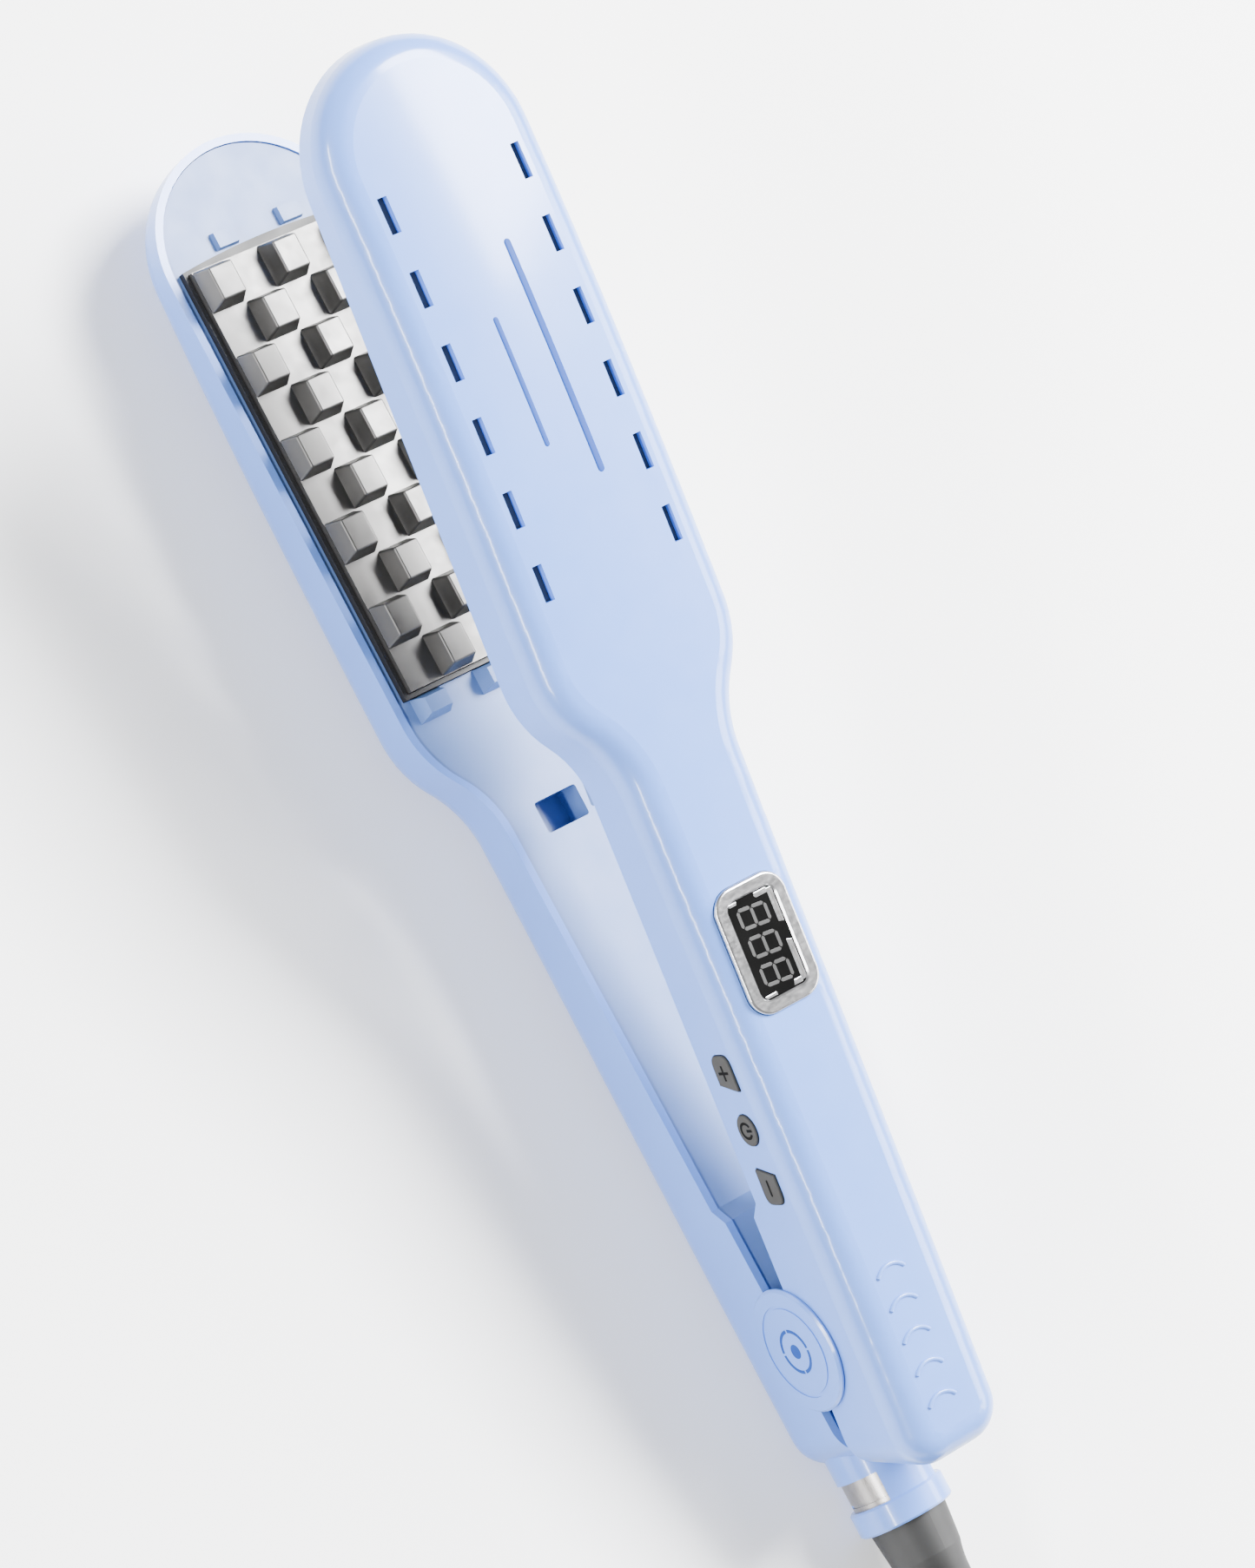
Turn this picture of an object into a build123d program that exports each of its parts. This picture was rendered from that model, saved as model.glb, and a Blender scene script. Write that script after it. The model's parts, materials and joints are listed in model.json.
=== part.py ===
from build123d import *
import math
import os

os.makedirs("parts", exist_ok=True)

# Hair volumising iron: two long arms hinged at the tail, each with a toothed hot plate.
# Everything is modelled with the arms closed, the hinge axis along Y through (0, 0, 0), the head
# towards +X and the closed mid-plane at z = 0.  The upper arm is then opened by OPEN_ANGLE, and
# stand() moves the whole iron so that z = 0 is its underside.

# ---------------------------------------------------------------- driving dimensions (mm, degrees)
OPEN_ANGLE = 12.3          # between the two arms when the spring holds them open
PLATE_COLUMNS = 5
ROW_PITCH = 9.0            # of the teeth, along the arm
COLUMN_PITCH = 7.6         # and across it
FRAME_BAND = 1.0           # black insulator band beside the plate
HEAD_MARGIN = 3.0          # from that band to the outside of the head
HEAD_HALF = PLATE_COLUMNS * COLUMN_PITCH / 2 + FRAME_BAND + HEAD_MARGIN
NECK_HALF = 13.5           # half width of the handle where the neck starts
TAIL_HALF = 11.7           # half width of the handle at its tail
HANDLE_LENGTH = 112.0      # from the hinge axis to the neck
NECK_LENGTH = 27.0
HEAD_LENGTH = 95.0         # straight part of the head
NECK_X = (HANDLE_LENGTH, HANDLE_LENGTH + NECK_LENGTH)
HEAD_END_X = NECK_X[1] + HEAD_LENGTH
UPPER_TAIL_X = -26.5       # tail end of the upper arm
LOWER_TAIL_X = -24.0       # tail end of the lower arm's shell, before its tube
TAIL_CORNER = 7.5          # vertical corner radius at the tail
CORNER = 6.2               # rounding between the outer face and the side walls
CROWN = 150.0              # radius of the outer face across the arm, measured to z = 0
# Height of the outer face above the mid-plane at stations from the tail to the head.
HEIGHTS = ((-45, 24.3), (0, 24.0), (HANDLE_LENGTH - 53, 22.4), (HANDLE_LENGTH - 5, 21.2),
           (HEAD_END_X - 82, 20.7), (HEAD_END_X - 44, 19.7), (HEAD_END_X - 9, 17.6), (HEAD_END_X + 28, 13.6))
CROWN_SWEEP = 50.0         # angle of the crowned face about that centre
WALL = 1.6                 # shell wall
SEAM = 0.18                # gap between a shell and its liner
RIM = 5.0                  # height of a shell's rim above the mid-plane
RIM_NEAR = 2.4             # the same near the hinge
RAMP_X = (27.5, 30.5)      # where the rim steps from one to the other
LOWER_TAIL_RIM = 4.4       # rim behind the hinge, cut lower to let the upper arm tip down
LOWER_TAIL_RECESS = 6.0    # tail covers below the mid-plane
UPPER_TAIL_RECESS = 3.4
LINER_DROP = 0.45          # how far the liner lies inside the rim
LINER_THICK = 1.6
LINER_END_X = 8.5          # the liner stops here, before the hinge knuckles

PLATE_X1 = HEAD_END_X + 0.2   # head end of the hot plate
NECK_MARGIN = 4.0          # least distance from the neck to the plate
PLATE_ROWS = int((HEAD_LENGTH - NECK_MARGIN) // ROW_PITCH)
PLATE_LENGTH = PLATE_ROWS * ROW_PITCH
PLATE_WIDTH = PLATE_COLUMNS * COLUMN_PITCH
PLATE_FACE = 2.6           # plate face above the mid-plane
PLATE_THICK = 3.0
TOOTH_TIP = 2.0            # how far a tooth reaches past the mid-plane
TOOTH_DRAFT = (2.3, 2.2)   # how much smaller a tooth's top is than its pitch
TOOTH_ROOT_GAP = 0.2       # between the roots of diagonal neighbours
TOOTH_EDGE = 0.45          # rounding of a tooth's edges
FRAME_END_BAND = 2.0       # the insulator's band at the head end
FRAME_ARCH = 1.2           # arch of its head end
FRAME_FACE = 3.9           # top of the insulator above the mid-plane
FRAME_DEPTH = 8.6
FRAME_FLOOR = 1.4
FIT = 0.1                  # clearance of pieces that sit in one another

HEATER_SIZE = (PLATE_LENGTH - 14.0, 16.0, 2.4)
SHOE_THICK = 1.2           # spring-steel shoe that presses the heater to the plate

SLOT_PITCH = 14.35         # of the vents in each row
SLOTS = 1 + int((HEAD_LENGTH - 14.0) // SLOT_PITCH)
SLOT_FIRST_X = HEAD_END_X - 6.9
SLOT_Y = HEAD_HALF - 7.7
SLOT_SIZE = (7.0, 2.0)

GUIDE_X = HANDLE_LENGTH - 0.2
GUIDE_HOLE = (6.5, 10.0)
GUIDE_PLAY = 0.5           # each side of the boss in the hole
GUIDE_REACH = 11.5         # how far the boss reaches past the mid-plane
SOCKET_DEPTH = 9.0
SOCKET_WALL = 1.2

PIN_R = 2.0
PIN_CLEARANCE = 0.05
KNUCKLE_R = 6.3
LOWER_KNUCKLE_Y = (4.3, 6.7)
UPPER_KNUCKLE_Y = (7.0, 9.7)
CAP_R = 12.75
CAP_THICK = 0.85
CAP_RECESS_R = 9.6
CAP_RECESS = 0.25
CAP_GAP = 0.12
SPRING_WIRE = 1.1
SPRING_R = PIN_R + SPRING_WIRE / 2 + 1.05
SPRING_TURNS = 4
SPRING_GAP = 0.35          # between its turns
SPRING_LEG = 13.0

DISPLAY_X = 77.5
BEZEL_SIZE = (25.0, 16.6)
BEZEL_CORNER = 4.6
BEZEL_BORDER = 2.7
BEZEL_PROUD = 0.75
BEZEL_SINK = 0.75
WINDOW_THICK = 1.0
FRAME_THICK = 1.4
FRAME_DROP = 0.5           # below the inside of the wall
MODULE_THICK = 3.0

BUTTON_X = (57.4, 45.5, 33.6)
BUTTON_Z = 12.5
BUTTON_SIZE = (6.8, 5.6)
BUTTON_SLANT = 15.0
BUTTON_PROUD = 0.5
BUTTON_GAP = 0.15
BUTTON_FLANGE = 1.0
BUTTON_PLAY = 0.25         # between the flange and the wall
BUTTON_TRAVEL = 0.6
SWITCH_SIZE = (6.0, 3.2, 6.0)
BOARD_THICK = 1.6

TUBE_Z = -14.5             # axis of the cord tube
TUBE_END_X = -39.2
SLEEVE_R = 8.6
SLEEVE_CLEARANCE = 0.06
SLEEVE_WALL = 2.0
TUBE_R = SLEEVE_R + SLEEVE_CLEARANCE + 0.64
COLLAR_R = TUBE_R + 0.5
COLLAR_LENGTH = 5.2
CORE_NECK_R = 5.0
CORE_HEAD_R = CORE_NECK_R + 1.0
CORE_HEAD_GAP = 0.9        # from the tail wall to the core's head
WINDOW_X = (-34.0, -28.0)
WINDOW_HALF_ANGLE = 52.0

CORD_D = 6.5
BOOT_ROOT_R = SLEEVE_R - 0.6
BOOT_BEND_R = 7.2
BOOT_TIP_R = CORD_D / 2 + 0.65
BOOT_STRAIGHT = 8.0
BOOT_REACH = 12.5          # how far the bent part reaches on, and to the side and down
BOOT_SIDE = 5.35
BOOT_DROP = 2.4
FLOOR_Z = -24.3            # the surface that the iron lies on
HANK_CENTRE = (-138.0, 2.5)
HANK_LOOPS = 38.0          # from the middle of the hank to the centre of each end loop
HANK_INNER_R = 21.0        # middle of the inner turns at the end loops
HANK_COLUMNS = 2           # turns side by side
HANK_LAYERS = 3            # and on each other
TIE_THICK = 0.9
TIE_WIDTH = 9.0
# Route of the cord from the boot to the hank, and from the hank to the plug that lies on it.
LEAD = [(-65.0, -10.9, -19.1), (-74.5, -17.5, -20.15), (-84.5, -22.0, -20.15)]
TAIL = [(-184.5, 23.2, -4.4), (-172.5, 22.8, -1.4), (-161.0, 16.4, 1.6), (-150.0, 9.6, 3.4), (-138.0, 7.5, 3.7)]
PLUG_BODY = (26.0, 24.0, 15.0)
PLUG_RELIEF = 18.0
PLUG_RELIEF_R = (CORD_D / 2 + 0.65, 6.0)
PLUG_PIN = (16.0, 1.5, 6.3)
PLUG_PIN_PITCH = 12.7
STAND = Pos(-(HEAD_END_X + HEAD_HALF + TUBE_END_X) / 2, 0, -FLOOR_Z)

LOWER = -1
UPPER = 1


# ---------------------------------------------------------------- shared shapes
def side_half(x):
    """Half width of the straight handle at x."""
    share = (x - UPPER_TAIL_X) / (NECK_X[0] - UPPER_TAIL_X)
    return TAIL_HALF + share * (NECK_HALF - TAIL_HALF)


def neck_arcs(handle, end):
    """Two tangent arcs of one radius from the handle's edge to the head's, which runs along X."""
    start = handle @ 1
    slope = math.atan2((handle % 1).Y, (handle % 1).X)
    run, rise = end[0] - start.X, end[1] - start.Y
    low, high = slope, math.pi / 2
    for _ in range(60):
        steep = (low + high) / 2
        if (2 * math.sin(steep) - math.sin(slope)) * rise > run * (1 + math.cos(slope) - 2 * math.cos(steep)):
            low = steep
        else:
            high = steep
    radius = run / (2 * math.sin(steep) - math.sin(slope))
    middle = (start.X + radius * (math.sin(steep) - math.sin(slope)),
              start.Y + radius * (math.cos(slope) - math.cos(steep)))
    first = TangentArc(start, middle, tangent=handle % 1)
    return first, TangentArc(middle, end, tangent=first % 1)


def planform(inset, tail_x):
    """Outline of an arm seen from above, drawn in by inset."""
    tail = tail_x + inset
    tail_half = side_half(tail_x) - inset
    neck_half = NECK_HALF - inset
    head_half = HEAD_HALF - inset
    handle = Line((tail, tail_half), (NECK_X[0], neck_half))
    neck_in, neck_out = neck_arcs(handle, (NECK_X[1], head_half))
    head = Line((NECK_X[1], head_half), (HEAD_END_X, head_half))
    half = [handle, neck_in, neck_out, head]
    tip = ThreePointArc((HEAD_END_X, head_half), (HEAD_END_X + head_half, 0), (HEAD_END_X, -head_half))
    other = [edge.mirror(Plane.XZ) for edge in half]
    end = Line((tail, tail_half), (tail, -tail_half))
    face = make_face(half + [tip] + other + [end])
    corners = face.vertices().group_by(Axis.X)[0]
    return fillet(corners, TAIL_CORNER - inset)


def height_line(inset=0.0):
    return Spline(*[(x, 0, z - inset) for x, z in HEIGHTS])


def surface_at(x):
    """Height and slope angle of the outer face along the arm's middle."""
    line = height_line()
    low, high = 0.0, 1.0
    while high - low > 1e-6:
        middle = (low + high) / 2
        if (line @ middle).X < x:
            low = middle
        else:
            high = middle
    tangent = line % low
    return (line @ low).Z, math.degrees(math.atan2(tangent.Z, tangent.X))


def arm_block(inset, tail_x):
    """Solid outer form of an arm above z = 0, drawn in by inset."""
    walls = extrude(planform(inset, tail_x), 40)
    top = height_line(inset)
    start, end = top @ 0, top @ 1
    sides = Polyline((start.X, 0, start.Z), (start.X, 0, -CROWN), (end.X, 0, -CROWN), (end.X, 0, end.Z))
    section = make_face([top] + sides.edges())
    spine = Axis((0, 0, -CROWN), (1, 0, 0))
    crown = revolve(section.rotate(spine, -CROWN_SWEEP / 2), spine, CROWN_SWEEP)
    block = (walls & crown).solid()
    outer_face = block.faces().sort_by(Axis.Z)[-1]
    return fillet(outer_face.outer_wire().edges(), CORNER - inset)


def across(points, half_width=40.0):
    """Prism with the given XZ outline, straight across the arm."""
    outline = make_face(Polyline(*[(x, 0, z) for x, z in points], close=True))
    return extrude(outline, half_width, dir=(0, 1, 0), both=True)


def rim_line(drop):
    """Points of the rim from the head to the tail, drop inside it."""
    return [(270, RIM + drop), (RAMP_X[1], RIM + drop), (RAMP_X[0], RIM_NEAR + drop)]


def block_at(x, y, z, size):
    return Pos(x, y, z) * Box(*size)


def tube_x(radius, x0, x1, z=TUBE_Z):
    """Cylinder along X between two stations."""
    return Pos((x0 + x1) / 2, 0, z) * Rot(0, 90, 0) * Cylinder(radius, abs(x1 - x0))


def cylinder_y(radius, y0, y1, x=0.0, z=0.0):
    """Cylinder along Y between two stations."""
    return Pos(x, (y0 + y1) / 2, z) * Rot(90, 0, 0) * Cylinder(radius, abs(y1 - y0))


def flip(shape):
    """Turns an upper shape into the same one on the lower arm."""
    return shape.mirror(Plane.XY)


def main_solid(shape):
    """The piece itself, without the empty scraps that a cut can leave."""
    return shape.solids().sort_by(SortBy.VOLUME)[-1]


def slot_cutters():
    cut = []
    for i in range(SLOTS):
        for y in (-SLOT_Y, SLOT_Y):
            cut.append(Pos(SLOT_FIRST_X - i * SLOT_PITCH, y, RIM + 4) * extrude(Rectangle(*SLOT_SIZE), 30))
    return cut


# ---------------------------------------------------------------- shells
def shell(tail_x, tail_rim):
    """One arm's outer shell, upper side up, with its rim, hollow and vents."""
    hollow = arm_block(WALL, tail_x)
    low = [(CAP_R - 3, RIM_NEAR), (-CAP_R + 3, tail_rim), (-60, tail_rim), (-60, -1), (270, -1)]
    under_rim = across(rim_line(0) + low)
    body = arm_block(0, tail_x) - hollow - under_rim
    return main_solid(body - slot_cutters())


def grip_ridge(x):
    """Low curved ridge on the upper arm's tail."""
    z = surface_at(x)[0] - 0.05
    line = ThreePointArc((x - 1.0, 5.0, z), (x + 0.6, 1.9, z), (x - 1.0, -1.4, z))
    return sweep(Plane(origin=line @ 0, z_dir=line % 0) * Circle(0.45), path=line)


def display_plane():
    z, slope = surface_at(DISPLAY_X)
    return Pos(DISPLAY_X, 0, z) * Rot(0, -slope, 0)


def button_outline(index, grow=0.0):
    """Face of one button in the XZ plane: two D-shapes and an oval."""
    length = BUTTON_SIZE[0] + 2 * grow
    height = BUTTON_SIZE[1] + 2 * grow
    if index == 1:
        return Ellipse(length / 2 * 0.94, height / 2)
    lean = math.tan(math.radians(BUTTON_SLANT)) * height / 2
    bow = 2.6 + grow
    flat = -length / 2
    shoulder = length / 2 - bow
    top = Line((flat - lean, height / 2), (shoulder, height / 2))
    nose = Spline((shoulder, height / 2), (length / 2, 0), (shoulder, -height / 2), tangents=[(1, 0), (-1, 0)])
    rest = Polyline((shoulder, -height / 2), (flat + lean, -height / 2), (flat - lean, height / 2))
    outline = make_face([top, nose] + rest.edges())
    outline = fillet(outline.vertices().group_by(Axis.X)[0], 0.4 + grow / 2)
    return outline if index == 0 else Rot(0, 0, 180) * outline


def on_side(index, outline, y0, y1):
    """Extrudes a button outline along Y through the side wall."""
    plane = Plane(origin=(BUTTON_X[index], y1, BUTTON_Z), x_dir=(1, 0, 0), z_dir=(0, -1, 0))
    return extrude(plane * outline, abs(y1 - y0))


def upper_shell():
    body = shell(UPPER_TAIL_X, RIM_NEAR)
    seat = extrude(RectangleRounded(BEZEL_SIZE[0] + 2 * FIT, BEZEL_SIZE[1] + 2 * FIT, BEZEL_CORNER + FIT), 6)
    opening = (BEZEL_SIZE[0] - 2 * BEZEL_BORDER + 2.0, BEZEL_SIZE[1] - 2 * BEZEL_BORDER + 2.0)
    through = extrude(RectangleRounded(opening[0], opening[1], BEZEL_CORNER - 2.0), 6, both=True)
    body -= display_plane() * Pos(0, 0, -BEZEL_SINK) * seat
    body -= display_plane() * through
    for index in range(3):
        body -= on_side(index, button_outline(index, BUTTON_GAP), 5, 20)
    for i in range(5):
        body += grip_ridge(12.4 - 6.6 * i)
    return main_solid(body)


def lower_shell():
    body = flip(shell(LOWER_TAIL_X, LOWER_TAIL_RIM))
    tube = tube_x(TUBE_R, LOWER_TAIL_X + 6, TUBE_END_X)
    collar = tube_x(COLLAR_R, TUBE_END_X + COLLAR_LENGTH, TUBE_END_X)
    collar = chamfer(collar.edges(), 0.4)
    bore_x = LOWER_TAIL_X - 1.6
    hollow = flip(arm_block(WALL, LOWER_TAIL_X))
    outer = body + (tube - hollow) + collar
    outer -= tube_x(SLEEVE_R + SLEEVE_CLEARANCE, bore_x, TUBE_END_X - 1)
    outer -= tube_x(CORE_NECK_R + SLEEVE_CLEARANCE, LOWER_TAIL_X + 4, bore_x - 1)
    for side in (-1, 1):
        outer -= sleeve_window(side)
    return main_solid(outer)


def sleeve_window(side):
    """Side window in the cord tube, a sector of its wall."""
    reach = 1.6 * TUBE_R
    half = WINDOW_HALF_ANGLE
    rise = reach * math.tan(math.radians(half))
    wedge = Polyline((0, 0), (reach, rise), (reach, -rise), close=True)
    plane = Plane(origin=(WINDOW_X[0], 0, TUBE_Z), x_dir=(0, side, 0), z_dir=(1, 0, 0))
    return extrude(plane * make_face(wedge), WINDOW_X[1] - WINDOW_X[0])


# ---------------------------------------------------------------- liners
def plate_centre_x():
    return PLATE_X1 - PLATE_LENGTH / 2


def frame_outline(grow):
    """Outline of the insulator frame round the plate, arched at the head end."""
    x0 = PLATE_X1 - PLATE_LENGTH - FRAME_BAND - grow
    x1 = PLATE_X1 + FRAME_END_BAND - FRAME_ARCH + grow
    half = PLATE_WIDTH / 2 + FRAME_BAND + grow
    sides = Polyline((x1, half), (x0, half), (x0, -half), (x1, -half))
    arch = ThreePointArc((x1, half), (x1 + FRAME_ARCH, 0), (x1, -half))
    return make_face(sides.edges() + [arch])


def liner_sheet():
    """Flat inner cover of an arm, upper side up, from the head to the hinge."""
    drop = LINER_DROP
    face = rim_line(drop)
    back = [(x, z + LINER_THICK) for x, z in rim_line(drop)]
    ends = [(LINER_END_X, RIM_NEAR + drop), (LINER_END_X, RIM_NEAR + drop + LINER_THICK)]
    band = across(face + ends + back[::-1])
    sheet = band & extrude(planform(WALL + SEAM, UPPER_TAIL_X), 40)
    sheet -= extrude(frame_outline(FIT), 40)
    return sheet


def knuckles(span):
    """Hinge lugs on an upper liner, with webs to the sheet."""
    face = RIM_NEAR + LINER_DROP
    lugs = []
    for side in (-1, 1):
        lug = cylinder_y(KNUCKLE_R, side * span[0], side * span[1])
        width = span[1] - span[0]
        middle = side * (span[0] + span[1]) / 2
        web_height = KNUCKLE_R - face
        web = block_at((LINER_END_X + 2) / 2, middle, face + web_height / 2, (LINER_END_X + 2, width, web_height))
        lugs.append(lug + web)
    return lugs


def pads(span_x, base, top, columns, width, draft):
    """Castellated pads in line with the tooth columns."""
    group = []
    for column in columns:
        y = (column - (PLATE_COLUMNS - 1) / 2) * COLUMN_PITCH
        length = span_x[1] - span_x[0]
        foot = Rectangle(length, width)
        pad = extrude(Pos((span_x[0] + span_x[1]) / 2, y, base) * foot, base - top, dir=(0, 0, -1), taper=draft)
        group.append(pad)
    return group


def liner(side):
    """Inner cover with hinge lugs and castellated pads."""
    sheet = liner_sheet()
    face = RIM + LINER_DROP
    near_x = PLATE_X1 - PLATE_LENGTH - FRAME_BAND - FIT
    far_x = PLATE_X1 + FRAME_END_BAND + 0.4
    columns = (0, 2, 4) if side == LOWER else (1, 3)
    far_columns = (1, 3) if side == LOWER else (0, 2, 4)
    for pad in pads((near_x - 5.2, near_x), face, 1.4, columns, 7.0, 14):
        sheet += pad
    for pad in pads((far_x, far_x + 3.6), face, RIM - 0.9, far_columns, 5.0, 10):
        sheet += pad
    for lug in knuckles(LOWER_KNUCKLE_Y if side == LOWER else UPPER_KNUCKLE_Y):
        sheet += lug
    radius = PIN_R if side == LOWER else PIN_R + PIN_CLEARANCE
    sheet -= cylinder_y(radius, -20, 20)
    if side == LOWER:
        sheet = add_socket(sheet)
        return flip(sheet.solid())
    return add_boss(sheet).solid()


def add_socket(sheet):
    """Square guide hole with its well."""
    base = RIM + LINER_DROP
    outer = (GUIDE_HOLE[0] + 2 * SOCKET_WALL, GUIDE_HOLE[1] + 2 * SOCKET_WALL, SOCKET_DEPTH)
    sheet += block_at(GUIDE_X, 0, base + SOCKET_DEPTH / 2, outer)
    hole = RectangleRounded(GUIDE_HOLE[0], GUIDE_HOLE[1], 0.6)
    return sheet - Pos(GUIDE_X, 0, base - 1) * extrude(hole, SOCKET_DEPTH + 1 - SOCKET_WALL)


def add_boss(sheet):
    """Guide boss that enters the other arm's well."""
    base = RIM + LINER_DROP
    size = (GUIDE_HOLE[0] - 2 * GUIDE_PLAY, GUIDE_HOLE[1] - 2 * GUIDE_PLAY)
    boss = extrude(Pos(GUIDE_X, 0, base + 0.5) * RectangleRounded(size[0], size[1], 0.6),
                   base + 0.5 + GUIDE_REACH, dir=(0, 0, -1))
    return sheet + chamfer(boss.edges().group_by(Axis.Z)[0], 0.5)


def tail_cover(tail_x, recess):
    """Small plate that closes an arm behind the hinge, upper side up."""
    sheet = extrude(planform(WALL + SEAM, tail_x), LINER_THICK)
    sheet = Pos(0, 0, recess) * sheet
    return (sheet & block_at(-40 - CAP_R + 2.5, 0, 10, (80, 60, 60))).solid()


# ---------------------------------------------------------------- hot plates
def tooth():
    """One tooth with its root on z = 0, pointing up."""
    height = PLATE_FACE + TOOTH_TIP
    root = Rectangle(ROW_PITCH - TOOTH_ROOT_GAP, COLUMN_PITCH - TOOTH_ROOT_GAP)
    top = Pos(0, 0, height) * Rectangle(ROW_PITCH - TOOTH_DRAFT[0], COLUMN_PITCH - TOOTH_DRAFT[1])
    body = loft([root, top])
    upper = body.faces().sort_by(Axis.Z)[-1].edges()
    flanks = body.edges().filter_by(lambda e: abs((e @ 0).Z - (e @ 1).Z) > height / 2)
    return fillet(list(upper) + list(flanks), TOOTH_EDGE)


def plate(side):
    """Toothed plate of the lower arm, teeth up, or of the upper arm, teeth down."""
    base = block_at(plate_centre_x(), 0, -PLATE_FACE - PLATE_THICK / 2, (PLATE_LENGTH, PLATE_WIDTH, PLATE_THICK))
    shape = tooth()
    parity = 0 if side == LOWER else 1
    teeth = []
    for row in range(PLATE_ROWS):
        for column in range(PLATE_COLUMNS):
            if (row + column) % 2 == parity:
                x = PLATE_X1 - ROW_PITCH * (row + 0.5)
                y = (column - (PLATE_COLUMNS - 1) / 2) * COLUMN_PITCH
                teeth.append(Pos(x, y, -PLATE_FACE) * shape)
    body = (base + teeth).solid()
    return body if side == LOWER else flip(body)


def insulator():
    """Black tray that holds plate and heater, upper side up."""
    tray = Pos(0, 0, FRAME_FACE) * extrude(frame_outline(0), FRAME_DEPTH)
    well = FRAME_DEPTH - FRAME_FLOOR
    tray -= block_at(plate_centre_x(), 0, FRAME_FACE + well / 2,
                     (PLATE_LENGTH + 2 * FIT, PLATE_WIDTH + 2 * FIT, well))
    for x in plate_screw_x():
        tray -= Pos(x, 0, FRAME_FACE + FRAME_DEPTH) * Cylinder(1.4, 10)
    return tray.solid()


def plate_screw_x():
    offset = PLATE_LENGTH / 2 - 4
    return (plate_centre_x() - offset, plate_centre_x() + offset)


def heater():
    z = PLATE_FACE + PLATE_THICK + HEATER_SIZE[2] / 2
    return block_at(plate_centre_x(), 0, z, HEATER_SIZE)


def heater_shoe():
    """Bowed steel strip between heater and tray floor."""
    z0 = PLATE_FACE + PLATE_THICK + HEATER_SIZE[2]
    z1 = FRAME_FACE + FRAME_DEPTH - FRAME_FLOOR
    half = HEATER_SIZE[0] / 2 - 4
    top = ThreePointArc((-half, 0, z1), (0, 0, z0 + SHOE_THICK), (half, 0, z1))
    down = ThreePointArc((half, 0, z1 - SHOE_THICK), (0, 0, z0), (-half, 0, z1 - SHOE_THICK))
    ends = [Line(top @ 1, down @ 0), Line(down @ 1, top @ 0)]
    strip = make_face([top, ends[0], down, ends[1]])
    return Pos(plate_centre_x(), 0, 0) * extrude(strip, HEATER_SIZE[1] / 2 - 2, dir=(0, 1, 0), both=True)


def plate_screws():
    """Two screws from behind the tray into the plate."""
    floor = FRAME_FACE + FRAME_DEPTH
    group = []
    for x in plate_screw_x():
        shank = Pos(x, 0, (PLATE_FACE + PLATE_THICK + floor) / 2)
        shank *= Cylinder(1.2, floor - PLATE_FACE - PLATE_THICK)
        head = Pos(x, 0, floor + 0.9) * Cylinder(2.3, 1.8)
        head -= Pos(x, 0, floor + 1.5) * (Box(3.2, 0.6, 1.2) + Box(0.6, 3.2, 1.2))
        group.append((shank + head).solid())
    return group


def thermal_fuse():
    z = FRAME_FACE + FRAME_DEPTH + 2.2
    barrel = Pos(plate_centre_x(), 0, z) * Rot(0, 90, 0) * Cylinder(2.0, 12)
    leads = Pos(plate_centre_x(), 0, z) * Rot(0, 90, 0) * Cylinder(0.5, 30)
    return (barrel + leads).solid()


# ---------------------------------------------------------------- hinge
def hinge_cap(side):
    """Round cover on the end of the hinge pin."""
    inner = side_half(CAP_R) + CAP_GAP
    outer = inner + CAP_THICK
    disc = cylinder_y(CAP_R, inner, outer)
    rim = disc.edges().filter_by(GeomType.CIRCLE).group_by(Axis.Y)[-1]
    disc = chamfer(rim, 0.45)
    ring = cylinder_y(CAP_RECESS_R, outer - CAP_RECESS, outer + 1)
    inlay = cylinder_y(CAP_RECESS_R - 0.7, outer - CAP_RECESS - 0.1, outer)
    stub = cylinder_y(PIN_R, pin_end(), inner)
    cap = (disc - ring + inlay + stub).solid()
    return cap if side > 0 else cap.mirror(Plane.XZ)


def pin_end():
    return side_half(0) - WALL


def hinge_pin():
    return cylinder_y(PIN_R, -pin_end(), pin_end())


def opening_spring():
    """Torsion spring round the pin, one leg on each liner."""
    pitch = SPRING_WIRE + SPRING_GAP
    length = SPRING_TURNS * pitch
    path = Helix(pitch, length, SPRING_R)
    section = Plane(origin=path @ 0, z_dir=path % 0) * Circle(SPRING_WIRE / 2)
    coil = Pos(0, length / 2, 0) * Rot(90, 0, 0) * sweep(section, path=path, is_frenet=True)
    leg = Rot(0, 90, 0) * Cylinder(SPRING_WIRE * 0.46, SPRING_LEG)
    knee = Sphere(SPRING_WIRE * 0.55)
    bend = SPRING_R - 0.15
    wire = coil
    for side in (-1, 1):
        wire += Pos(bend + SPRING_LEG / 2, side * length / 2, 0) * leg
        wire += Pos(bend, side * length / 2, 0) * knee
    return wire.solid()


# ---------------------------------------------------------------- display
def bezel():
    ring = extrude(RectangleRounded(BEZEL_SIZE[0], BEZEL_SIZE[1], BEZEL_CORNER), BEZEL_PROUD + BEZEL_SINK)
    ring = Pos(0, 0, -BEZEL_SINK) * ring
    ring = fillet(ring.faces().sort_by(Axis.Z)[-1].edges(), 0.55)
    inner = window_size(0)
    hole = extrude(RectangleRounded(inner[0], inner[1], BEZEL_CORNER - BEZEL_BORDER), 8, both=True)
    ring -= hole
    ring = chamfer(ring.edges().group_by(Axis.Z)[-1], 0.3)
    return (display_plane() * ring).solid()


def window_size(gap):
    return (BEZEL_SIZE[0] - 2 * BEZEL_BORDER - 2 * gap, BEZEL_SIZE[1] - 2 * BEZEL_BORDER - 2 * gap)


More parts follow.
